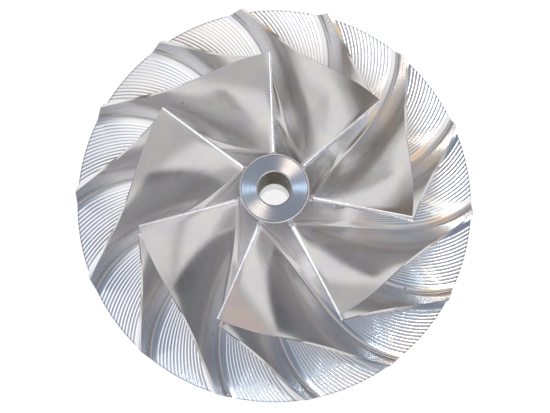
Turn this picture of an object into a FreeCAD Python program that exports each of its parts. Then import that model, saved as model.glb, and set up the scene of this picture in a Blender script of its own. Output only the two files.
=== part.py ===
import FreeCAD, Part
import math
import os
import Sketcher

# Compressor wheel of a turbocharger, milled on five axes from one turned aluminium blank.
# The wheel rests on its flat back at height zero, and its bore runs up the Z axis to the nose.
# Seen from the inlet, from +Z, the blades sweep counter-clockwise towards the rim.
# Lengths are millimetres and angles degrees.

SIZES = {
    # Turned blank: the surface on which every blade tip ends, a curve with a handle at each end.
    "exducer_diameter": 82.0,
    "inducer_diameter": 53.6,
    "leading_tip_height": 30.5,
    "leading_root_height": 30.0,
    "exit_blade_height": 4.5,
    "tip_inlet_handle": 16.0,
    "tip_exit_handle": 8.7,
    # Hub floor between the blades, a like curve from the nose to the edge of the disc.
    "hub_nose_flare": 1.3,
    "hub_nose_handle": 19.5,
    "hub_exit_handle": 21.0,
    "disc_edge": 1.2,
    # Nose, bore and back.
    "wheel_height": 35.0,
    "nose_diameter": 12.4,
    "nose_chamfer": 0.4,
    "bore_diameter": 6.35,
    "bore_chamfer": 0.25,
    "back_boss_diameter": 20.0,
    "back_relief_diameter": 60.0,
    "back_relief_depth": 0.4,
    # Blades: full blades and splitters take turns, as many of one as of the other.
    # The sweep at each edge grows along the edge by a cubic with a linear and a square part.
    "full_blade_count": 7,
    "leading_root_angle": 90.05,
    "leading_tip_lean": 1.5,
    "root_sweep": 63.1,
    "root_sweep_linear": 2.545,
    "root_sweep_square": -2.984,
    "tip_sweep": 59.3,
    "tip_sweep_linear": 1.570,
    "tip_sweep_square": -0.900,
    # Where a splitter starts, as shares of a full blade's root and tip edges.
    "splitter_root_start": 0.30,
    "splitter_tip_start": 0.35,
    # Blade thicknesses and root fillets at the inlet, half way and at the exit.
    "root_thickness_inlet": 0.8,
    "root_thickness_middle": 1.3,
    "root_thickness_exit": 1.1,
    "tip_thickness_inlet": 0.55,
    "tip_thickness_middle": 0.6,
    "tip_thickness_exit": 0.5,
    "fillet_inlet": 0.7,
    "fillet_middle": 1.8,
    "fillet_exit": 1.5,
    # Stock that the blank trims from each blade, and how deep a blade's foot sits in the hub.
    "blade_stock": 1.6,
    "fillet_sink": 0.08,
    "foot_sink": 0.5,
}

BLADE_STATIONS = 12
FILLET_STRIPS = 3
STEP = 0.001
FAR = 1000
Z_AXIS = FreeCAD.Vector(0, 0, 1)


def add_sizes(doc):
    """Write the driving dimensions into a spreadsheet, one alias each."""
    sheet = doc.addObject("Spreadsheet::Sheet", "sizes")
    for row, (name, number) in enumerate(SIZES.items(), start=1):
        sheet.set(f"A{row}", name)
        sheet.set(f"B{row}", str(number))
        sheet.setAlias(f"B{row}", name)
    doc.recompute()
    return sheet


# ------------------------------------------------------------ turned bodies


def meridian_sketch(body, name):
    """A sketch on the body's XZ plane: across is the radius, up is the height."""
    sketch = body.newObject("Sketcher::SketchObject", name)
    plane = next(f for f in body.Origin.OriginFeatures if f.Role == "XZ_Plane")
    sketch.AttachmentSupport = [(plane, "")]
    sketch.MapMode = "FlatFace"
    return sketch


def sketch_point(sketch, place):
    """The sketch point at a (radius, height) pair of expressions."""
    radius, height = (float(sketch.evalExpression(text)) for text in place)
    return FreeCAD.Vector(radius, height, 0)


def bind_point(sketch, geometry, position, place):
    """Tie a point of the sketch to a (radius, height) pair of expressions."""
    target = sketch_point(sketch, place)
    for kind, text, number in zip(("DistanceX", "DistanceY"), place, target):
        rule = Sketcher.Constraint(kind, -1, 1, geometry, position, number)
        sketch.setExpression(f"Constraints[{sketch.addConstraint(rule)}]", text)


def add_curve(sketch, places):
    """A cubic curve whose two ends and two handles lie at the given places."""
    poles = [sketch_point(sketch, place) for place in places]
    spline = Part.BSplineCurve(poles, None, None, False, len(poles) - 1, None, False)
    curve = sketch.addGeometry(spline, False)
    for index, (pole, place) in enumerate(zip(poles, places)):
        handle = sketch.addGeometry(Part.Circle(pole, Z_AXIS, 1), True)
        link = "InternalAlignment:Sketcher::BSplineControlPoint"
        sketch.addConstraint(Sketcher.Constraint(link, handle, 3, curve, index))
        bind_point(sketch, handle, 3, place)


def add_lines(sketch, places):
    """Straight edges through the given places, each corner tied to its expressions."""
    for first, second in zip(places, places[1:]):
        ends = [sketch_point(sketch, place) for place in (first, second)]
        line = sketch.addGeometry(Part.LineSegment(*ends), False)
        bind_point(sketch, line, 1, first)
        bind_point(sketch, line, 2, second)


def add_turned_body(doc, name, curve_places, corner_places):
    """Revolve a half section: one curve, then straight edges back to its start."""
    body = doc.addObject("PartDesign::Body", name)
    sketch = meridian_sketch(body, name + "_section")
    add_curve(sketch, curve_places)
    add_lines(sketch, [curve_places[-1], *corner_places, curve_places[0]])
    turned = body.newObject("PartDesign::Revolution", name + "_turning")
    turned.Profile = sketch
    turned.ReferenceAxis = (sketch, ["V_Axis"])
    turned.Angle = 360
    body.Tip = turned
    doc.recompute()
    return body, sketch.Geometry[0]


def add_hub(doc):
    """Nose, bore, disc and flat back: the wheel without its blades."""
    rim = "sizes.exducer_diameter / 2"
    bore = "sizes.bore_diameter / 2"
    nose = "sizes.nose_diameter / 2"
    top = "sizes.wheel_height"
    boss = "sizes.back_boss_diameter / 2"
    relief = "sizes.back_relief_diameter / 2"
    depth = "sizes.back_relief_depth"
    shoulder = (f"{nose} + sizes.nose_chamfer", f"{top} - sizes.nose_chamfer")
    floor = [
        shoulder,
        (f"{shoulder[0]} + sizes.hub_nose_flare", f"{shoulder[1]} - sizes.hub_nose_handle"),
        (f"{rim} - sizes.hub_exit_handle", "sizes.disc_edge"),
        (rim, "sizes.disc_edge"),
    ]
    corners = [
        (rim, "0"),
        (relief, "0"),
        (f"{relief} - {depth}", depth),
        (f"{boss} + {depth}", depth),
        (boss, "0"),
        (f"{bore} + sizes.bore_chamfer", "0"),
        (bore, "sizes.bore_chamfer"),
        (bore, f"{top} - sizes.bore_chamfer"),
        (f"{bore} + sizes.bore_chamfer", top),
        (nose, top),
    ]
    return add_turned_body(doc, "hub", floor, corners)


def add_blank(doc):
    """The turned envelope: what lies outside it is cut from every blade."""
    inlet = "sizes.inducer_diameter / 2"
    rim = "sizes.exducer_diameter / 2"
    exit_height = "sizes.disc_edge + sizes.exit_blade_height"
    cover = [
        (inlet, "sizes.leading_tip_height"),
        (inlet, "sizes.leading_tip_height - sizes.tip_inlet_handle"),
        (f"{rim} - sizes.tip_exit_handle", exit_height),
        (rim, exit_height),
    ]
    corners = [
        (rim, "0"),
        ("0", "0"),
        ("0", "sizes.leading_root_height"),
        ("sizes.nose_diameter / 2", "sizes.leading_root_height"),
    ]
    return add_turned_body(doc, "blank", cover, corners)


# ------------------------------------------------------------------- blades


def share_at_height(curve, height):
    """The share of a meridian's length that lies above a height."""
    level = Part.LineSegment(FreeCAD.Vector(0, height, 0), FreeCAD.Vector(FAR, height, 0))
    meeting = curve.intersectCC(level)[0]
    here = curve.parameter(FreeCAD.Vector(meeting.X, meeting.Y, 0))
    return curve.length(curve.FirstParameter, here) / curve.length()


def meridian_place(curve, share):
    """Radius and height at a share of a meridian's length, straight on past its ends."""
    inside = min(max(share, 0), 1)
    parameter = curve.parameterAtDistance(inside * curve.length(), curve.FirstParameter)
    beyond = (share - inside) * curve.length()
    return curve.value(parameter) + curve.tangent(parameter)[0] * beyond


def through_three(share, inlet, middle, outlet):
    """The parabola through a value at the inlet, the middle and the outlet."""
    early = inlet * (1 - share) * (1 - 2 * share)
    late = outlet * share * (2 * share - 1)
    return early + 4 * middle * share * (1 - share) + late


class BladeEdge:
    """A long edge of a blade's middle surface: its root on the hub or its tip on the blank."""

    def __init__(self, sheet, name, meridian, lead, start, angle):
        self.meridian = meridian
        self.lead = lead
        self.start = start
        self.angle = angle
        self.sweep = [sheet.get(f"{name}_sweep{part}") for part in ("", "_linear", "_square")]
        places = ("inlet", "middle", "exit")
        self.thicknesses = [sheet.get(f"{name}_thickness_{place}") for place in places]

    def point(self, share, downward=0, around=0):
        """The edge at a share of its length, or a place on its turned surface that far off."""
        total, linear, square = self.sweep
        part = self.start + (1 - self.start) * share
        sweep = total * (linear * part + square * part**2 + (1 - linear - square) * part**3)
        along_meridian = self.lead + (1 - self.lead) * part + downward / self.meridian.length()
        place = meridian_place(self.meridian, along_meridian)
        angle = math.radians(self.angle + sweep) + around / place.x
        return FreeCAD.Vector(place.x * math.cos(angle), place.x * math.sin(angle), place.y)

    def frame(self, share):
        """Unit vectors at the edge: along it, down the meridian and around the axis."""
        along = self.point(share + STEP) - self.point(share - STEP)
        downward = self.point(share, STEP) - self.point(share, -STEP)
        around = self.point(share, 0, STEP) - self.point(share, 0, -STEP)
        return along.normalize(), downward.normalize(), around.normalize()

    def beside(self, share, distance):
        """The place on the turned surface at a distance to the clockwise side of the edge."""
        along, downward, around = self.frame(share)
        return self.point(share, distance * along.dot(around), -distance * along.dot(downward))

    def thickness(self, share):
        return through_three(share, *self.thicknesses)


def flank_station(sheet, root, tip, share, side):
    """Points down one flank: crest, root fillet and sunk foot. Side 1 is the clockwise one."""
    low = root.point(share)
    high = tip.point(share)
    upward = (high - low).normalize()
    along, downward, around = root.frame(share)
    foot = low + along.cross(upward).normalize() * (side * root.thickness(share) / 2)
    tip_across = tip.frame(share)[0].cross(upward).normalize()
    crest = high + tip_across * (side * tip.thickness(share) / 2)
    slant = (crest - foot).normalize()

    # The fillet is a parabola that leaves the flank and the floor at a corner between them.
    outward = downward.cross(around).normalize()
    floor_way = along.cross(outward) * side
    corner = foot - slant * ((foot - low).dot(outward) / slant.dot(outward))
    radius = through_three(share, sheet.fillet_inlet, sheet.fillet_middle, sheet.fillet_exit)
    leg = radius / math.tan(slant.getAngle(floor_way) / 2)
    start = corner + slant * leg
    reach = (corner - low).dot(floor_way) + leg
    end = root.beside(share, side * reach) - outward * sheet.fillet_sink
    fillet = []
    for strip in range(FILLET_STRIPS + 1):
        part = strip / FILLET_STRIPS
        fillet.append(start * (1 - part)**2 + corner * (2 * part * (1 - part)) + end * part**2)
    return [crest + slant * sheet.blade_stock, *fillet, end - outward * sheet.foot_sink]


def smooth_line(points):
    curve = Part.BSplineCurve()
    curve.interpolate(points)
    return curve


def straight_lines(points):
    return [Part.LineSegment(*pair) for pair in zip(points, points[1:])]


def blade_solid(clockwise, counter):
    """Close two sides, each a list of stations, with faces ruled from line to line."""
    long_edges = [[smooth_line(line) for line in zip(*side)] for side in (clockwise, counter)]
    pairs = [pair for edges in long_edges for pair in zip(edges, edges[1:])]
    pairs.append((long_edges[0][0], long_edges[1][0]))
    pairs.append((long_edges[0][-1], long_edges[1][-1]))
    for end in (0, -1):
        pairs.extend(zip(straight_lines(clockwise[end]), straight_lines(counter[end])))
    shell = Part.makeShell([first.makeRuledSurface(second).toShape() for first, second in pairs])
    shell.sewShape()
    solid = Part.makeSolid(shell)
    if solid.Volume < 0:
        solid.reverse()
    return solid


def add_blade(doc, sheet, name, meridians, starts, blank):
    """One blade of a kind: flanks left by the side of a cutter, trimmed to the turned blank."""
    floor, cover = meridians
    angle = sheet.leading_root_angle
    lead = share_at_height(floor, sheet.leading_root_height)
    root = BladeEdge(sheet, "root", floor, lead, starts[0], angle)
    tip = BladeEdge(sheet, "tip", cover, 0, starts[1], angle + sheet.leading_tip_lean)
    overrun = sheet.blade_stock / cover.length()
    first = 0 if any(starts) else -overrun
    spacing = (1 + overrun - first) / BLADE_STATIONS
    shares = [first + spacing * index for index in range(BLADE_STATIONS + 1)]
    sides = []
    for side in (1, -1):
        sides.append([flank_station(sheet, root, tip, share, side) for share in shares])
    raw = doc.addObject("Part::Feature", name + "_flanks")
    raw.Shape = blade_solid(*sides)
    blade = doc.addObject("Part::Common", name)
    blade.Base = raw
    blade.Tool = blank
    doc.recompute()
    return blade


def add_turned_copies(doc, blade, count, first_turn):
    """Links to one blade, spread evenly round the axis."""
    copies = []
    for index in range(count):
        copy = doc.addObject("App::Link", f"{blade.Name}_{index + 1}")
        copy.LinkedObject = blade
        copy.Placement = FreeCAD.Placement(FreeCAD.Vector(), FreeCAD.Rotation(Z_AXIS, 1))
        turn = f"({first_turn} + {index}) * 360 / sizes.full_blade_count"
        copy.setExpression("Placement.Rotation.Angle", turn)
        copies.append(copy)
    return copies


def add_wheel(doc, hub, blades):
    """The finished wheel, one piece of metal."""
    wheel = doc.addObject("Part::MultiFuse", "compressor_wheel")
    wheel.Label = "compressor_wheel"
    wheel.Shapes = [hub, *blades]
    wheel.Refine = True
    doc.recompute()
    return wheel


def check(doc, sub_parts):
    """Stop on any failed object, and on any sub-part that is not one sound solid."""
    for item in doc.Objects:
        if {"Invalid", "Error"} & set(item.State):
            raise RuntimeError(f"{item.Label} failed: {item.State}")
    for item in sub_parts:
        shape = item.Shape
        if shape.isNull() or not shape.isValid() or len(shape.Solids) != 1:
            raise RuntimeError(f"{item.Label} is not one sound solid")


def main():
    doc = FreeCAD.newDocument("compressor_wheel")
    sheet = add_sizes(doc)
    hub, floor = add_hub(doc)
    blank, cover = add_blank(doc)
    meridians = (floor, cover)
    splitter_starts = (sheet.splitter_root_start, sheet.splitter_tip_start)
    full_blade = add_blade(doc, sheet, "full_blade", meridians, (0, 0), blank)
    splitter = add_blade(doc, sheet, "splitter", meridians, splitter_starts, blank)
    count = int(sheet.full_blade_count)
    blades = add_turned_copies(doc, full_blade, count, 0)
    blades += add_turned_copies(doc, splitter, count, 0.5)
    wheel = add_wheel(doc, hub, blades)
    check(doc, [wheel])
    os.makedirs("parts", exist_ok=True)
    wheel.Shape.exportStep(os.path.join("parts", wheel.Label + ".step"))


main()
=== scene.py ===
import math

import bmesh
import bpy
import numpy as np
from mathutils import Matrix, Vector


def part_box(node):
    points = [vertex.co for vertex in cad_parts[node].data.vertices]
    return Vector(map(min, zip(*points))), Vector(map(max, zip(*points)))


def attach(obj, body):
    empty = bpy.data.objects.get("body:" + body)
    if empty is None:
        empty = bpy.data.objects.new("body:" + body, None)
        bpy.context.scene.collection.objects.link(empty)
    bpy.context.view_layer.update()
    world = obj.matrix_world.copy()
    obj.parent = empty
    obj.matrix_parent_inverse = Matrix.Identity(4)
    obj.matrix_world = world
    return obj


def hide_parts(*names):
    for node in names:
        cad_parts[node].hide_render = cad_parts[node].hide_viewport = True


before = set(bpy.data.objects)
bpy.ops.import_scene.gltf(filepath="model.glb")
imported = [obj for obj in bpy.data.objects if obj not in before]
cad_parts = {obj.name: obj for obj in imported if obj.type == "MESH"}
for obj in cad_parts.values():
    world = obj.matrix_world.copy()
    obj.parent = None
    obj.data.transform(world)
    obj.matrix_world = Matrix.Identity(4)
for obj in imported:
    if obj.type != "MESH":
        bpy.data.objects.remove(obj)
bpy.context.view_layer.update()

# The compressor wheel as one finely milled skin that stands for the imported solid, in its frame.
# Lengths are millimetres and angles degrees until a mesh is made, and a share runs from 0 to 1.
# Seen from above, the blades sweep counter-clockwise from the nose to the rim.

MM = 0.001
NODE = "compressor_wheel"
LOW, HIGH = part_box(NODE)
RIM = min(HIGH[0] - LOW[0], HIGH[1] - LOW[1]) / 2 / MM
TOP = (HIGH[2] - LOW[2]) / MM

# Turned surfaces: radii, heights above the back, and how far the curves' handles reach.
INDUCER = 26.8
LEADING_TIP = 30.5
LEADING_ROOT = 30.0
EXIT_BLADE = 4.5  # from the floor to the tips at the rim
TIP_HANDLES = (16.0, 8.7)
DISC_EDGE = 1.2
NOSE = 6.2
NOSE_CHAMFER = 0.4
HUB_FLARE = 1.3  # how far the hub's first handle leans outward
HUB_HANDLES = (19.5, 21.0)
BORE = 3.175
BORE_CHAMFER = 0.25
BACK_BOSS = 10.0
BACK_RELIEF = 30.0
RELIEF_DEPTH = 0.4

# Blades: seven full ones and seven splitters by turns. A sweep is its whole angle and the first
# two coefficients of a cubic. Three values are those at the inlet, the middle and the outlet.
FULL_BLADES = 7
PITCH = 360 / FULL_BLADES
ROOT_ANGLE = 90.05
TIP_LEAN = 1.5
ROOT_SWEEP = (63.1, 2.545, -2.984)
TIP_SWEEP = (59.3, 1.570, -0.900)
SPLITTER_STARTS = (0.30, 0.35)
ROOT_THICKNESS = (0.8, 1.3, 1.1)
TIP_THICKNESS = (0.55, 0.6, 0.5)
FILLET = (0.7, 1.8, 1.5)
NOSE_LENGTH = 0.22
NOSE_POWER = 0.75  # 1 is an ellipse, and less is blunter
RIM_TURN_START = 0.7  # share of a blade's length from which its profiles turn to the rim

# Milling marks of the hub floor: shallow scallops side by side along each passage. They deepen
# between two shares of the hub's meridian.
GROOVES = 14
GROOVE_DEPTH = 0.10
GROOVES_START = (0.48, 0.62)

# Mesh density. Up to the seam the floor has one column to a groove, and after it several. The
# seam is at a share of the hub's meridian.
LANE_COLUMNS = GROOVES
GROOVE_COLUMNS = 6
FILLET_STEPS = 7
FLANK_STEPS = 9
NOSE_STEPS = 5
TRAILING_COLUMNS = 6
FACE_RINGS = 7
BORE_RINGS = 9
SEAM_SHARE = 0.47
UPSTREAM_ROWS = 5
THROAT_ROWS = 14
MIDDLE_ROWS = 6
OUTER_ROWS = 36

# How finely curves are sampled, and how far they are followed past their ends.
MERIDIAN_SAMPLES = 4001
GAP_SAMPLES = 1301
GAP_OVERRUN = 0.15
FLANK_SAMPLES = 500
FLANK_OVERRUN = 0.08
COVER_PASSES = 3
STEP = 0.001

# Cleaning and shading of the mesh: two distances in metres and an angle in degrees.
WELD = 0.0000015
SLIVER = 0.000001
SHARP_ANGLE = 29


# --------------------------------------------------------------- geometry laws


class Meridian:
    """A cubic curve in the (radius, height) plane, read by share of its length."""

    def __init__(self, poles):
        t = np.linspace(0, 1, MERIDIAN_SAMPLES)[:, None]
        weights = np.hstack([(1 - t)**3, 3 * t * (1 - t)**2, 3 * t**2 * (1 - t), t**3])
        self.points = weights @ np.array(poles)
        steps = np.linalg.norm(np.diff(self.points, axis=0), axis=1)
        self.length = steps.sum()
        self.shares = np.concatenate([[0], np.cumsum(steps)]) / self.length

    def at(self, share):
        """(radius, height) at a share of the length, straight on past the ends."""
        share = np.asarray(share, float)
        inside = np.clip(share, 0, 1)
        place = [np.interp(inside, self.shares, self.points[:, axis]) for axis in (0, 1)]
        beyond = (share - inside)[..., None] * self.length
        first = self.points[1] - self.points[0]
        last = self.points[-1] - self.points[-2]
        way = np.where(beyond < 0, first / np.linalg.norm(first), last / np.linalg.norm(last))
        return np.stack(place, -1) + way * beyond

    def share_at_height(self, height):
        """The share at which the curve, which falls all the way, comes down to a height."""
        return float(np.interp(-height, -self.points[:, 1], self.shares))

    def gap(self, points):
        """Signed distance of points from the turned surface, positive outside it."""
        place = np.stack([np.hypot(points[..., 0], points[..., 1]), points[..., 2]], -1)
        shares = np.linspace(-GAP_OVERRUN, 1 + GAP_OVERRUN, GAP_SAMPLES)
        curve = self.at(shares)
        apart = place[..., None, :] - curve
        nearest = np.argmin((apart**2).sum(-1), axis=-1)
        nearest = np.clip(nearest, 1, len(curve) - 2)
        way = curve[nearest + 1] - curve[nearest - 1]
        way /= np.linalg.norm(way, axis=-1, keepdims=True)
        offset = place - curve[nearest]
        return offset[..., 0] * -way[..., 1] + offset[..., 1] * way[..., 0]


def unit(vectors):
    return vectors / np.linalg.norm(vectors, axis=-1, keepdims=True)


def dot(first, second):
    return (first * second).sum(-1, keepdims=True)


def smooth_step(value, low, high):
    part = np.clip((value - low) / (high - low), 0, 1)
    return part * part * (3 - 2 * part)


def turned_point(meridian, share, angle):
    """Points of a turned surface at shares of its meridian and angles in degrees."""
    place = meridian.at(share)
    angle = np.radians(angle)
    across = place[..., 0]
    return np.stack([across * np.cos(angle), across * np.sin(angle), place[..., 1]], -1)


def through_three(share, values):
    """The parabola through a value at the inlet, the middle and the outlet."""
    inlet, middle, outlet = values
    early = inlet * (1 - share) * (1 - 2 * share)
    late = outlet * share * (2 * share - 1)
    return early + 4 * middle * share * (1 - share) + late


def sweep_angle(sweep, part):
    """How far a blade has swept at a part of the way from its inlet to the rim."""
    total, linear, square = sweep
    return total * (linear * part + square * part**2 + (1 - linear - square) * part**3)


class BladeEdge:
    """A long edge of a blade's middle surface: its root on the hub or its tip on the cover."""

    def __init__(self, meridian, lead, start, angle, sweep, thickness):
        self.meridian = meridian
        self.lead = lead
        self.start = start
        self.angle = angle
        self.sweep = sweep
        self.thickness = thickness

    def place(self, share, downward=0, around=0):
        """(meridian share, angle) of the edge, or of a place on the surface that far off."""
        part = self.start + (1 - self.start) * share
        along = self.lead + (1 - self.lead) * part + downward / self.meridian.length
        turn = np.degrees(around / self.meridian.at(along)[..., 0])
        return along, self.angle + sweep_angle(self.sweep, part) + turn

    def point(self, share, downward=0, around=0):
        return turned_point(self.meridian, *self.place(share, downward, around))

    def frame(self, share):
        """Unit vectors at the edge: along it, down the meridian and around the axis."""
        along = self.point(share + STEP) - self.point(share - STEP)
        downward = self.point(share, STEP) - self.point(share, -STEP)
        around = self.point(share, 0, STEP) - self.point(share, 0, -STEP)
        return unit(along), unit(downward), unit(around)

    def half(self, share):
        """Half of the blade's thickness."""
        return through_three(share, self.thickness)[:, None] / 2


HUB = Meridian([
    (NOSE + NOSE_CHAMFER, TOP - NOSE_CHAMFER),
    (NOSE + NOSE_CHAMFER + HUB_FLARE, TOP - NOSE_CHAMFER - HUB_HANDLES[0]),
    (RIM - HUB_HANDLES[1], DISC_EDGE),
    (RIM, DISC_EDGE),
])
COVER = Meridian([
    (INDUCER, LEADING_TIP),
    (INDUCER, LEADING_TIP - TIP_HANDLES[0]),
    (RIM - TIP_HANDLES[1], DISC_EDGE + EXIT_BLADE),
    (RIM, DISC_EDGE + EXIT_BLADE),
])
LEAD = HUB.share_at_height(LEADING_ROOT)


class Blade:
    """The skin of one blade, as profiles that climb from the floor to the tip."""

    def __init__(self, starts):
        root_start, tip_start = starts
        tip_angle = ROOT_ANGLE + TIP_LEAN
        self.root = BladeEdge(HUB, LEAD, root_start, ROOT_ANGLE, ROOT_SWEEP, ROOT_THICKNESS)
        self.tip = BladeEdge(COVER, 0, tip_start, tip_angle, TIP_SWEEP, TIP_THICKNESS)

    def profiles(self, share, turn):
        """Profiles at shares of the blade's length and turns about its nose, in degrees.

        Turn 0 is the clockwise flank, 90 the leading edge and 180 the counter-clockwise flank.
        Gives the points of each profile, and the (meridian share, angle) of its outer end.
        """
        share, turn = np.broadcast_arrays(np.asarray(share, float), np.radians(turn))
        aside, ahead = np.cos(turn)[:, None], np.sin(turn)[:, None]
        blunt_ahead = np.sign(ahead) * np.abs(ahead)**NOSE_POWER
        low, high = self.root.point(share), self.tip.point(share)
        upward = unit(high - low)
        along, downward, around = self.root.frame(share)
        tip_along = self.tip.frame(share)[0]

        def edge_of_skin(centre, way, half):
            across = unit(np.cross(way, upward))
            forward = -unit(way - upward * dot(way, upward))
            return centre + across * (aside * half) + forward * (blunt_ahead * NOSE_LENGTH)

        foot = edge_of_skin(low, along, self.root.half(share))
        crest = edge_of_skin(high, tip_along, self.tip.half(share))
        slant = unit(crest - foot)
        for _ in range(COVER_PASSES):
            gap = COVER.gap(crest)[:, None]
            rate = (COVER.gap(crest + slant * STEP)[:, None] - gap) / STEP
            crest = crest - slant * (gap / rate)

        outward = unit(np.cross(downward, around))
        floor_way = unit(np.cross(along, outward) * aside - along * ahead)
        corner = foot - slant * (dot(foot - low, outward) / dot(slant, outward))
        opening = np.arccos(np.clip(dot(slant, floor_way), -1, 1))
        leg = through_three(share, FILLET)[:, None] / np.tan(opening / 2)
        start = corner + slant * leg
        reach = corner - low + floor_way * leg
        place = self.root.place(share, dot(reach, downward)[:, 0], dot(reach, around)[:, 0])
        end = turned_point(HUB, *place)

        part = np.linspace(0, 1, FILLET_STEPS + 1)[None, :, None]
        fillet = (end[:, None] * (1 - part)**2 + corner[:, None] * (2 * part * (1 - part))
                  + start[:, None] * part**2)
        part = np.linspace(0, 1, FLANK_STEPS + 1)[None, 1:, None]
        flank = start[:, None] * (1 - part) + crest[:, None] * part
        return np.concatenate([fillet, flank], axis=1), np.stack(place, -1)


def first_share(blade):
    """The share at which the flanks start: the nose's length behind the leading edge."""
    return NOSE_LENGTH / (HUB.length * (1 - blade.root.lead) * (1 - blade.root.start))


def nose_quarter(blade, turn_end):
    """Profiles from the front of the nose round to one flank."""
    turns = np.linspace(90, turn_end, NOSE_STEPS + 1)
    return blade.profiles(np.full(len(turns), first_share(blade)), turns)


def flank_rows(blade, turn, shares_down_floor):
    """Profiles down one flank whose outer ends lie at the given shares of the hub's meridian.

    Towards the exit the profiles turn, line by line, until each ends on the rim.
    """
    sample = np.linspace(first_share(blade), 1 + FLANK_OVERRUN, FLANK_SAMPLES)
    points, places = blade.profiles(sample, np.full(FLANK_SAMPLES, float(turn)))
    row_sample = np.interp(shares_down_floor, places[:, 0], sample)
    radii = np.hypot(points[..., 0], points[..., 1])
    ends = np.array([np.interp(RIM, radii[:, line], sample) for line in range(radii.shape[1])])
    last = np.interp(1, places[:, 0], sample)
    late = smooth_step(row_sample, RIM_TURN_START, last)
    rows = np.empty((len(row_sample), points.shape[1], 3))
    for line in range(points.shape[1]):
        here = row_sample + (ends[line] - last) * late
        for axis in range(3):
            rows[:, line, axis] = np.interp(here, sample, points[:, line, axis])
    row_places = [np.interp(row_sample, sample, places[:, axis]) for axis in (0, 1)]
    row_places = np.stack(row_places, -1)
    rows[:, 0] = turned_point(HUB, row_places[:, 0], row_places[:, 1])
    return rows, row_places


# -------------------------------------------------------------------- the rows


FULL = Blade((0, 0))
SPLITTER = Blade(SPLITTER_STARTS)
CLOCKWISE = 0
COUNTER = 180
FULL_FRONT = nose_quarter(FULL, CLOCKWISE)[1][0]


def row_plan():
    """The floor's rows as shares of the hub's meridian, and the rows of the noses and the seam.

    Rows crowd round the two noses, where the floor's edge turns from the centre line to a flank.
    """
    fronts, sides = [], []
    for blade in (FULL, SPLITTER):
        places = [nose_quarter(blade, turn)[1] for turn in (CLOCKWISE, COUNTER)]
        fronts.append(places[0][0, 0])
        sides.append((places[0][-1, 0] + places[1][-1, 0]) / 2)
    bend = 1 - np.cos(np.linspace(0, math.pi / 2, NOSE_STEPS + 1))
    arcs = [front + (side - front) * bend for front, side in zip(fronts, sides)]
    full_nose = UPSTREAM_ROWS
    splitter_nose = full_nose + NOSE_STEPS + THROAT_ROWS
    seam = splitter_nose + NOSE_STEPS + MIDDLE_ROWS
    rows = np.concatenate([
        np.linspace(0, fronts[0], UPSTREAM_ROWS + 1),
        arcs[0][1:],
        np.linspace(sides[0], fronts[1], THROAT_ROWS + 1)[1:],
        arcs[1][1:],
        np.linspace(sides[1], SEAM_SHARE, MIDDLE_ROWS + 1)[1:],
        np.linspace(SEAM_SHARE, 1, OUTER_ROWS + 1)[1:],
    ])
    return rows, {FULL: full_nose, SPLITTER: splitter_nose}, seam


ROWS, NOSE_ROW, SEAM_ROW = row_plan()


def centre_line(shares):
    """Angles of the line that a full blade's root follows, straight up the hub ahead of it."""
    part = (np.maximum(shares, FULL_FRONT[0]) - LEAD) / (1 - LEAD)
    return ROOT_ANGLE + sweep_angle(ROOT_SWEEP, part)


def skin_side(blade, turn):
    """One side of a blade from the front of its nose to the rim, and the floor's edge there."""
    nose, nose_places = nose_quarter(blade, turn)
    start = NOSE_ROW[blade] + NOSE_STEPS
    flank, flank_places = flank_rows(blade, turn, ROWS[start + 1:])
    skin = np.concatenate([nose, flank])
    places = np.concatenate([nose_places, flank_places])
    upstream = ROWS[:NOSE_ROW[blade]]
    front = places[0]
    if blade is FULL:
        angles = np.full(len(upstream), front[1])
    else:
        begin = FULL_FRONT[1] - centre_line(ROWS[:1])[0]
        end = front[1] - centre_line(front[:1])[0]
        ramp = np.linspace(0, 1, len(upstream) + 1)[:-1]**2
        angles = centre_line(upstream) + begin + (end - begin) * ramp
    edge = np.concatenate([np.stack([upstream, angles], -1), places])
    return skin, edge


def floor_lane(left, right, columns, rows, grooved):
    """The hub floor between two edges of (share, angle) places, one row per place."""
    across = np.linspace(0, 1, columns + 1)[None, :, None]
    places = left[rows, None] * (1 - across) + right[rows, None] * across
    shares, angles = places[..., 0], places[..., 1]
    points = turned_point(HUB, shares, angles)
    if not grooved:
        return points
    groove = np.linspace(0, GROOVES, columns + 1) % 1
    depth = GROOVE_DEPTH * 4 * groove * (1 - groove)
    depth = depth[None] * smooth_step(shares, *GROOVES_START)
    downward = turned_point(HUB, shares + STEP, angles) - turned_point(HUB, shares - STEP, angles)
    around = turned_point(HUB, shares, angles + STEP) - turned_point(HUB, shares, angles - STEP)
    return points - unit(np.cross(downward, around)) * depth[..., None]


# ------------------------------------------------------------------- the mesh


class Skin:
    """Gathers grids of points, each with a material, for one mesh."""

    def __init__(self):
        self.points = []
        self.marks = []
        self.faces = []
        self.materials = []
        self.count = 0

    def add(self, grid, material):
        """Adds the grid's faces, with the millimetres across and along it as its marks."""
        rows, columns = grid.shape[:2]
        across = np.linalg.norm(np.diff(grid, axis=1), axis=-1).mean(0)
        along = np.linalg.norm(np.diff(grid, axis=0), axis=-1).mean(1)
        across = np.concatenate([[0], np.cumsum(across)])
        along = np.concatenate([[0], np.cumsum(along)])
        marks = np.stack(np.broadcast_arrays(across[None], along[:, None]), -1)
        self.marks.append(marks.reshape(-1, 2))
        index = np.arange(rows * columns).reshape(rows, columns) + self.count
        corners = (index[:-1, :-1], index[1:, :-1], index[1:, 1:], index[:-1, 1:])
        faces = np.stack([corner.ravel() for corner in corners], -1)
        self.points.append(grid.reshape(-1, 3))
        self.faces.append(faces)
        self.materials.append(np.full(len(faces), material))
        self.count += rows * columns


def turned(points, degrees):
    """Points turned about the axis."""
    cosine, sine = math.cos(math.radians(degrees)), math.sin(math.radians(degrees))
    matrix = np.array([[cosine, sine, 0], [-sine, cosine, 0], [0, 0, 1]])
    return points @ matrix


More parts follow.
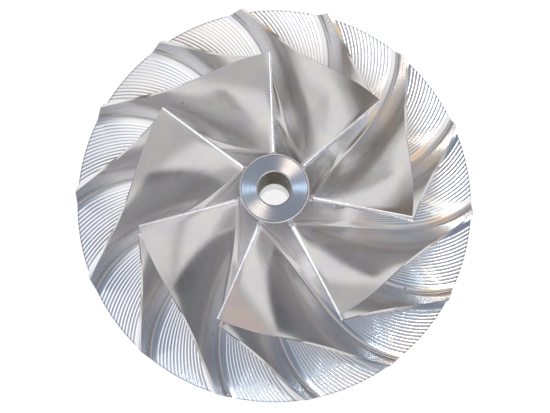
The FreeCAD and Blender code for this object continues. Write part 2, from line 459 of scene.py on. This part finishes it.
# The material slots, in the order of the list that mesh_object is given.
FLANK, FLOOR, EDGE, RING, BORE_WALL, BACK = range(6)


def trailing_face(first, second):
    """The face on the rim between the last profiles of a blade's two sides."""
    part = np.linspace(0, 1, TRAILING_COLUMNS + 1)
    angles = []
    for side in (first, second):
        angles.append(np.unwrap(np.arctan2(side[:, 1], side[:, 0])))
    turn = 2 * math.pi * np.round((angles[0] - angles[1]) / (2 * math.pi))
    angle = angles[0][:, None] * (1 - part) + (angles[1] + turn)[:, None] * part
    height = first[:, 2, None] * (1 - part) + second[:, 2, None] * part
    return np.stack([RIM * np.cos(angle), RIM * np.sin(angle), height], -1)


def add_blade(skin, sides, degrees):
    """A blade at its place: two sides, the crest between them, and its end on the rim."""
    first, second = (turned(side, degrees) for side in sides)
    for side in (first, second):
        skin.add(side[:NOSE_STEPS + 1, :FILLET_STEPS + 1], FLANK)
        skin.add(side[:NOSE_STEPS + 1, FILLET_STEPS:], EDGE)
        skin.add(side[NOSE_STEPS:], FLANK)
    skin.add(np.stack([first[:NOSE_STEPS + 1, -1], second[:NOSE_STEPS + 1, -1]], 1), EDGE)
    skin.add(np.stack([first[NOSE_STEPS:, -1], second[NOSE_STEPS:, -1]], 1), FLANK)
    face = trailing_face(first[-1], second[-1])
    skin.add(face, EDGE)
    skin.add(rim_wall(face[0]), EDGE)


def rim_wall(top):
    """The disc's edge under a line of points."""
    foot = top.copy()
    foot[:, 2] = 0
    return np.stack([top, foot])


def add_floor(skin, left, right, degrees):
    """A passage's floor, plain to the seam and grooved after it, and the rim below it.

    At the seam the fine columns lie straight on the coarse ones' edges, so that no gap opens.
    """
    columns = GROOVES * GROOVE_COLUMNS
    inner = floor_lane(left, right, LANE_COLUMNS, slice(0, SEAM_ROW + 1), False)
    outer = floor_lane(left, right, columns, slice(SEAM_ROW, None), True)
    lane = np.arange(columns + 1) / GROOVE_COLUMNS
    for axis in range(3):
        outer[0, :, axis] = np.interp(lane, np.arange(LANE_COLUMNS + 1), inner[-1, :, axis])
    skin.add(turned(inner, degrees), FLOOR)
    skin.add(turned(outer, degrees), FLOOR)
    skin.add(rim_wall(turned(outer[-1], degrees)), EDGE)


def ring(profile, material, skin):
    """A turned band, its columns in line with those of the floor at the nose."""
    columns = 2 * FULL_BLADES * LANE_COLUMNS
    angles = np.radians(FULL_FRONT[1] + np.linspace(0, 360, columns + 1))
    profile = np.array(profile)
    radius = profile[:, 0, None]
    height = np.broadcast_to(profile[:, 1, None], (len(profile), len(angles)))
    grid = np.stack([radius * np.cos(angles), radius * np.sin(angles), height], -1)
    skin.add(grid, material)


def add_turned_faces(skin):
    """The nose and its chamfer, which is half lip and half face, then the bore and the back."""
    shoulder = (NOSE + NOSE_CHAMFER, TOP - NOSE_CHAMFER)
    lip = ((shoulder[0] + NOSE) / 2, (shoulder[1] + TOP) / 2)
    mouth = BORE + BORE_CHAMFER
    face = [(radius, TOP) for radius in np.linspace(NOSE, mouth, FACE_RINGS)]
    bore_heights = np.linspace(TOP - BORE_CHAMFER, BORE_CHAMFER, BORE_RINGS)
    ring([shoulder, lip], EDGE, skin)
    ring([lip, *face], RING, skin)
    ring([(mouth, TOP), (BORE, TOP - BORE_CHAMFER)], EDGE, skin)
    ring([(BORE, height) for height in bore_heights], BORE_WALL, skin)
    ring([
        (BORE, BORE_CHAMFER), (mouth, 0), (BACK_BOSS, 0),
        (BACK_BOSS + RELIEF_DEPTH, RELIEF_DEPTH), (BACK_RELIEF - RELIEF_DEPTH, RELIEF_DEPTH),
        (BACK_RELIEF, 0), (RIM, 0),
    ], BACK, skin)


def make_skin():
    """All the surfaces of the wheel, with the blades by turns round the axis."""
    skin = Skin()
    sides, edges = {}, {}
    for blade in (FULL, SPLITTER):
        for turn in (CLOCKWISE, COUNTER):
            sides[blade, turn], edges[blade, turn] = skin_side(blade, turn)
    half = np.array([0, PITCH / 2])
    for index in range(FULL_BLADES):
        degrees = index * PITCH
        add_blade(skin, [sides[FULL, turn] for turn in (CLOCKWISE, COUNTER)], degrees)
        add_floor(skin, edges[FULL, COUNTER], edges[SPLITTER, CLOCKWISE] + half, degrees)
        add_blade(skin, [sides[SPLITTER, turn] for turn in (CLOCKWISE, COUNTER)],
                  degrees + PITCH / 2)
        add_floor(skin, edges[SPLITTER, COUNTER] + half, edges[FULL, CLOCKWISE] + 2 * half, degrees)
    add_turned_faces(skin)
    return skin


def mesh_object(skin, name, materials):
    """The skin as one closed object, smooth but for its corners, with its marks as a UV map."""
    points = np.concatenate(skin.points) * MM
    faces = np.concatenate(skin.faces)
    mesh = bpy.data.meshes.new(name)
    mesh.from_pydata(points.tolist(), [], faces.tolist())
    mesh.polygons.foreach_set("material_index", np.concatenate(skin.materials).astype(np.int32))
    marks = np.concatenate(skin.marks)[faces.ravel()]
    mesh.uv_layers.new(name="marks").data.foreach_set("uv", marks.ravel())
    work = bmesh.new()
    work.from_mesh(mesh)
    bmesh.ops.remove_doubles(work, verts=work.verts, dist=WELD)
    bmesh.ops.dissolve_degenerate(work, edges=work.edges, dist=SLIVER)
    bmesh.ops.recalc_face_normals(work, faces=work.faces)
    work.to_mesh(mesh)
    work.free()
    for material in materials:
        mesh.materials.append(material)
    mesh.shade_smooth()
    mesh.set_sharp_from_angle(angle=math.radians(SHARP_ANGLE))
    piece = bpy.data.objects.new(name, mesh)
    bpy.context.scene.collection.objects.link(piece)
    return piece


# ------------------------------------------------------------------- materials


# Scales of what isn't read from the marks map are to a metre. Heights of bumps are millimetres.
NOISE_RANGE = (0.3, 0.7)  # where nearly all of a noise lies
NOISE_ROUGHNESS = 0.55
PITS_TO_METRE = 130.0
PIT_SHADE = (0.30, 0.30, 0.30)
PIT_RADII = (0.018, 0.045)  # of its dark middle and its edge, in cells of the Voronoi texture
DARK_RIM_BAND = (0.9925, 0.9965)  # where the floor turns darker, as shares of the rim's radius
RINGS_TO_METRE = 9000.0
RING_ROUGHNESS_SPREAD = 0.03
RING_HIGHLIGHT_TURN = 0.25  # a quarter turn, which stretches highlights outward
PAINTED_LIGHT_HEIGHT = 0.36  # top of the painted light low in the bore, as a share of the height
PAINTED_LIGHT_BORDER = (0.03, 0.01)  # how far its border reaches below and above that
WHITE = (1, 1, 1)


class Nodes:
    """A short way to write a node tree: that of a new metal with a name, or the tree given."""

    def __init__(self, name=None, tree=None):
        self.tree = tree
        if name:
            self.material = bpy.data.materials.new(name)
            self.material.use_nodes = True
            self.tree = self.material.node_tree
            self.shader = self.tree.nodes["Principled BSDF"]
            self.shader.inputs["Metallic"].default_value = 1

    def add(self, kind, inputs=(), **settings):
        """A new node: inputs is {socket: value or output socket}, settings are its properties."""
        node = self.tree.nodes.new(kind)
        for key, value in settings.items():
            setattr(node, key, value)
        for key, value in dict(inputs).items():
            self.feed(node.inputs[key], value)
        return node

    def feed(self, socket, value):
        if isinstance(value, bpy.types.NodeSocket):
            self.tree.links.new(value, socket)
        else:
            socket.default_value = value

    def maths(self, operation, *values):
        node = self.add("ShaderNodeMath", operation=operation)
        for socket, value in zip(node.inputs, values):
            self.feed(socket, value)
        return node.outputs[0]

    def noise(self, vector, scale, detail):
        inputs = {"Vector": vector, "Scale": scale, "Detail": detail,
                  "Roughness": NOISE_ROUGHNESS}
        return self.add("ShaderNodeTexNoise", inputs).outputs["Fac"]

    def marks(self, across, along):
        """The marks map, with that many units to a millimetre each way."""
        place = self.add("ShaderNodeUVMap", uv_map="marks").outputs["UV"]
        inputs = {"Vector": place, "Scale": (across, along, 1)}
        return self.add("ShaderNodeMapping", inputs).outputs["Vector"]

    def place(self):
        """The point on the object, in metres."""
        return self.add("ShaderNodeTexCoord").outputs["Object"]

    def radius(self, place):
        """Distance from the wheel's axis."""
        flat = self.product(place, (1, 1, 0))
        return self.add("ShaderNodeVectorMath", {0: flat}, operation="LENGTH").outputs["Value"]

    def product(self, first, second):
        inputs = {0: first, 1: second}
        return self.add("ShaderNodeVectorMath", inputs, operation="MULTIPLY").outputs[0]

    def specks(self, colour):
        """A colour with a few small dark pits."""
        inputs = {"Vector": self.place(), "Scale": PITS_TO_METRE}
        pits = self.add("ShaderNodeTexVoronoi", inputs).outputs["Distance"]
        shade = self.ramp(pits, [(PIT_RADII[0], PIT_SHADE), (PIT_RADII[1], WHITE)])
        return self.product(colour, shade)

    def spread(self, noise, low, high):
        """A noise spread between two limits."""
        inputs = {"Value": noise, "From Min": NOISE_RANGE[0], "From Max": NOISE_RANGE[1],
                  "To Min": low, "To Max": high}
        return self.add("ShaderNodeMapRange", inputs).outputs["Result"]

    def ramp(self, value, stops):
        """A colour between stops of (place, colour)."""
        node = self.add("ShaderNodeValToRGB", {"Fac": value})
        elements = node.color_ramp.elements
        while len(elements) < len(stops):
            elements.new(0.5)
        for element, (place, colour) in zip(elements, stops):
            element.position = place
            element.color = (*colour, 1)
        return node.outputs["Color"]

    def bump(self, height, distance):
        inputs = {"Height": height, "Distance": distance * MM, "Strength": 1.0}
        normal = self.add("ShaderNodeBump", inputs).outputs["Normal"]
        self.feed(self.shader.inputs["Normal"], normal)

    def finish(self, colour, roughness):
        self.feed(self.shader.inputs["Base Color"], colour)
        self.feed(self.shader.inputs["Roughness"], roughness)
        return self.material


def flank_metal():
    """Blade sides: satin from the side of the cutter, with soft tinted bands along its path."""
    nodes = Nodes("blade_flank")
    streaks = nodes.noise(nodes.marks(across=4.0, along=0.05), scale=1.0, detail=3)
    bands = nodes.noise(nodes.marks(across=0.30, along=0.09), scale=1.0, detail=3)
    colour = nodes.ramp(bands, [(0.34, (0.63, 0.59, 0.575)), (0.44, (0.615, 0.60, 0.62)),
                                (0.54, (0.63, 0.625, 0.60)), (0.66, (0.66, 0.65, 0.635))])
    nodes.bump(streaks, distance=0.002)
    return nodes.finish(nodes.specks(colour), nodes.spread(streaks, low=0.13, high=0.19))


def floor_metal():
    """Hub floor: bright from a ball cutter, with fine lines along each scallop and a darker band at
    the rim's edge.
    """
    nodes = Nodes("milled_floor")
    place = nodes.place()
    lines = nodes.noise(nodes.marks(across=7.0, along=0.08), scale=1.0, detail=3)
    clouds = nodes.noise(place, scale=40.0, detail=2)
    colour = nodes.ramp(clouds, [(0.35, (0.70, 0.71, 0.75)), (0.65, (0.77, 0.77, 0.775))])
    share = nodes.maths("DIVIDE", nodes.radius(place), RIM * MM)
    rim_band = nodes.ramp(share, [(DARK_RIM_BAND[0], WHITE), (DARK_RIM_BAND[1], (0.50, 0.51, 0.53))])
    nodes.bump(lines, distance=0.004)
    return nodes.finish(nodes.product(colour, rim_band), nodes.spread(lines, low=0.20, high=0.28))


def edge_metal_painted_highlight():
    """Leading edges, the blades' ends, the disc's edge and the lips of nose and bore: bright, their
    lighter, lavender-tinted colour a painted highlight along the edges.
    """
    nodes = Nodes("blade_edge_painted_highlight")
    grain = nodes.noise(nodes.place(), scale=900.0, detail=3)
    # The lighter, lavender-tinted colour is a painted highlight along the edges.
    colour = nodes.ramp(grain, [(0.4, (0.74, 0.735, 0.78)), (0.6, (0.81, 0.805, 0.84))])
    nodes.bump(grain, distance=0.006)
    return nodes.finish(colour, nodes.spread(grain, low=0.24, high=0.34))


def turned_metal(name, dark, bright, roughness, anisotropy):
    """A face left by a lathe: rings about the axis that stretch every highlight outward."""
    nodes = Nodes(name)
    shader = nodes.shader.inputs
    inputs = {"W": nodes.radius(nodes.place()), "Scale": RINGS_TO_METRE}
    rings = nodes.add("ShaderNodeTexNoise", inputs, noise_dimensions="1D").outputs["Fac"]
    nodes.bump(rings, distance=0.004)
    tangent = nodes.add("ShaderNodeTangent", direction_type="RADIAL", axis="Z").outputs[0]
    nodes.feed(shader["Tangent"], tangent)
    shader["Anisotropic"].default_value = anisotropy
    shader["Anisotropic Rotation"].default_value = RING_HIGHLIGHT_TURN
    colour = nodes.ramp(rings, [(0.4, dark), (0.6, bright)])
    low, high = roughness - RING_ROUGHNESS_SPREAD, roughness + RING_ROUGHNESS_SPREAD
    return nodes.finish(colour, nodes.spread(rings, low, high))


def bore_painted_shade_and_light():
    """The bore: painted shade, dark and olive, from the nose down, and painted light near the back,
    where light comes through the bore.
    """
    nodes = Nodes("bore_wall_painted_shade_and_light")
    place = nodes.place()
    grain = nodes.noise(place, scale=700.0, detail=2)
    height = nodes.add("ShaderNodeSeparateXYZ", {0: place}).outputs["Z"]
    share = nodes.maths("DIVIDE", height, TOP * MM)
    # Painted shade on the upper bore and painted light on its lower part, in the colour and the
    # edge tint alike.
    colour = nodes.ramp(share, [(PAINTED_LIGHT_HEIGHT - PAINTED_LIGHT_BORDER[0], (0.85, 0.85, 0.86)),
                                (PAINTED_LIGHT_HEIGHT + PAINTED_LIGHT_BORDER[1], (0.13, 0.12, 0.07)),
                                (1.0, (0.17, 0.16, 0.10))])
    nodes.feed(nodes.shader.inputs["Specular Tint"], colour)
    nodes.bump(grain, distance=0.002)
    return nodes.finish(colour, nodes.spread(grain, low=0.20, high=0.30))


skin = make_skin()
materials = [
    flank_metal(),
    floor_metal(),
    edge_metal_painted_highlight(),
    # The nose's dark blue-grey colour is a painted reflection: darker and bluer than the rest of
    # the metal, it stands for what its flat face reflects.
    turned_metal("turned_nose_painted_reflection", dark=(0.27, 0.29, 0.335), bright=(0.34, 0.36, 0.40),
                 roughness=0.27, anisotropy=1.0),
    bore_painted_shade_and_light(),
    turned_metal("turned_back", dark=(0.68, 0.68, 0.69), bright=(0.76, 0.76, 0.77),
                 roughness=0.30, anisotropy=0.7),
]
wheel = mesh_object(skin, "wheel_skin", materials)
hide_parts(NODE)
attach(wheel, "root")


# ------------------------------------------------------- floor, light and camera


# The floor, in metres. It glows for the camera and in the metal, less so far from the axis.
FLOOR_SIZE = 3
FLOOR_DROP = 0.00002  # below the wheel's back, so that the two faces don't share a plane
FLOOR_GREY = 0.16
FLOOR_GRAIN = 1.04  # how much brighter the grain's bright spots are
FLOOR_GLOW = 0.88
FLOOR_LIT = 0.15  # distance to where the glow starts to fade
FLOOR_DIM = 0.32  # and to where it has faded to DIM_SHARE
DIM_SHARE = 0.50

# A small warm lamp and a cool one, high above, draw the highlights on the turned nose.
LAMP_DISTANCE = 0.8
LAMP_ELEVATION = 70


def floor_plane():
    """A pale floor, white to the camera and in the metal, that keeps the wheel's soft shadow."""
    bpy.ops.mesh.primitive_plane_add(size=FLOOR_SIZE, location=(0, 0, -FLOOR_DROP))
    plane = bpy.context.object
    plane.name = "floor"
    nodes = Nodes("pale_floor")
    shader = nodes.shader
    shader.inputs["Metallic"].default_value = 0
    shader.inputs["Roughness"].default_value = 0.9
    place = nodes.place()
    grain = nodes.noise(place, scale=30.0, detail=2)
    inputs = {"Value": nodes.radius(place), "From Min": FLOOR_LIT, "From Max": FLOOR_DIM,
              "To Min": FLOOR_GLOW, "To Max": FLOOR_GLOW * DIM_SHARE}
    level = nodes.add("ShaderNodeMapRange", inputs, interpolation_type="SMOOTHSTEP")
    seen = nodes.add("ShaderNodeLightPath").outputs
    seen_white = nodes.maths("ADD", seen["Is Camera Ray"], seen["Is Glossy Ray"])
    seen_white = nodes.maths("ADD", seen_white, seen["Is Transmission Ray"])
    glow = nodes.maths("MULTIPLY", seen_white, level.outputs["Result"])
    nodes.feed(shader.inputs["Emission Color"], (1, 1, 1, 1))
    nodes.feed(shader.inputs["Emission Strength"], glow)
    dark, bright = (FLOOR_GREY,) * 3, (FLOOR_GREY * FLOOR_GRAIN,) * 3
    colour = nodes.ramp(grain, [(NOISE_RANGE[0], dark), (NOISE_RANGE[1], bright)])
    nodes.feed(shader.inputs["Base Color"], colour)
    plane.data.materials.append(nodes.material)


def area_lamp(name, azimuth, size, power, colour):
    """A soft round lamp that faces the wheel, its azimuth counted from +X towards +Y."""
    azimuth, elevation = math.radians(azimuth), math.radians(LAMP_ELEVATION)
    place = Vector((math.cos(elevation) * math.cos(azimuth),
                    math.cos(elevation) * math.sin(azimuth),
                    math.sin(elevation))) * LAMP_DISTANCE
    lamp = bpy.data.lights.new(name, "AREA")
    lamp.shape = "DISK"
    lamp.size = size
    lamp.energy = power
    lamp.color = colour
    holder = bpy.data.objects.new(name, lamp)
    holder.location = place
    holder.rotation_euler = (-place).to_track_quat("-Z", "Y").to_euler()
    bpy.context.scene.collection.objects.link(holder)


# Light of the room by height in it, from 0 at the horizon to 1 straight above.
ROOM = [(0.0, 0.66), (0.25, 0.70), (0.55, 0.88), (1.0, 0.95)]

# Soft cards round the room: azimuth, angle from straight above, radius, and the light that each
# adds at its middle, in red, green and blue. Less than 0 takes light away.
CARDS = [
    (140, 90, 38, (-0.42, -0.45, -0.47)),
    (78, 78, 24, (-0.42, -0.46, -0.48)),
    (-64, 82, 30, (0.32, 0.28, 0.31)),
    (-5, 88, 30, (0.10, -0.03, -0.05)),
    (176, 34, 46, (0.50, 0.52, 0.57)),
    (-28, 28, 50, (-0.64, -0.59, -0.49)),
    (-84, 58, 20, (-0.26, -0.24, -0.20)),
    (72, 40, 14, (0.45, 0.02, -0.42)),
    (95, 64, 9, (0.45, 0.0, -0.40)),
    (50, 56, 12, (-0.25, -0.15, 0.20)),
]


def world_light():
    """A pale studio room: bright above, greyer towards the walls, with soft tinted cards."""
    world = bpy.data.worlds.new("studio")
    bpy.context.scene.world = world
    world.use_nodes = True
    nodes = Nodes(tree=world.node_tree)
    way = nodes.add("ShaderNodeTexCoord").outputs["Generated"]
    height = nodes.add("ShaderNodeSeparateXYZ", {0: way}).outputs["Z"]
    light = nodes.ramp(height, [(place, (level,) * 3) for place, level in ROOM])
    for azimuth, zenith, radius, colour in CARDS:
        azimuth, zenith, radius = (math.radians(angle) for angle in (azimuth, zenith, radius))
        middle = (math.sin(zenith) * math.cos(azimuth), math.sin(zenith) * math.sin(azimuth),
                  math.cos(zenith))
        near = nodes.add("ShaderNodeVectorMath", {0: way, 1: middle}, operation="DOT_PRODUCT")
        inputs = {"Value": near.outputs["Value"], "From Min": math.cos(radius), "From Max": 1.0}
        share = nodes.add("ShaderNodeMapRange", inputs, interpolation_type="SMOOTHSTEP")
        card = nodes.add("ShaderNodeVectorMath", {0: colour}, operation="SCALE")
        nodes.feed(card.inputs["Scale"], share.outputs["Result"])
        light = nodes.add("ShaderNodeVectorMath", {0: light, 1: card.outputs[0]}).outputs[0]
    nodes.feed(nodes.tree.nodes["Background"].inputs["Color"], light)


# The camera. Tilt and pan away from straight above are radians. It aims at a point of the plane
# of the disc's upper edge, from a distance, both in rim radii. The lens is in sensor widths.
CAMERA_TILT = 0.088158
CAMERA_PAN = -0.0014783
CAMERA_AIM = (0.0036752, -0.0110254)
CAMERA_DISTANCE = 8.7096
FOCAL_WIDTHS = 3.11523
SENSOR = 36  # millimetres


def add_camera():
    """The camera at the photograph's viewing angle, with +Y up in the picture."""
    tilt, pan = CAMERA_TILT, CAMERA_PAN
    back = Vector((math.sin(pan), -math.sin(tilt) * math.cos(pan), math.cos(tilt) * math.cos(pan)))
    aim = Vector((*CAMERA_AIM, DISC_EDGE / RIM))
    place = (aim + back * CAMERA_DISTANCE) * (RIM * MM)
    right = Vector((0, 1, 0)).cross(back).normalized()
    up = back.cross(right)
    camera = bpy.data.cameras.new("camera")
    camera.sensor_width = SENSOR
    camera.lens = FOCAL_WIDTHS * SENSOR
    holder = bpy.data.objects.new("camera", camera)
    facing = Matrix((right, up, back)).transposed().to_4x4()
    holder.matrix_world = Matrix.Translation(place) @ facing
    bpy.context.scene.collection.objects.link(holder)
    bpy.context.scene.camera = holder


floor_plane()
world_light()
area_lamp("key_lamp", azimuth=63, size=0.14, power=1.05, colour=(1, 0.82, 0.62))
area_lamp("side_lamp", azimuth=18, size=0.07, power=0.56, colour=(0.66, 0.84, 1))
add_camera()
bpy.context.scene.view_settings.view_transform = "Standard"
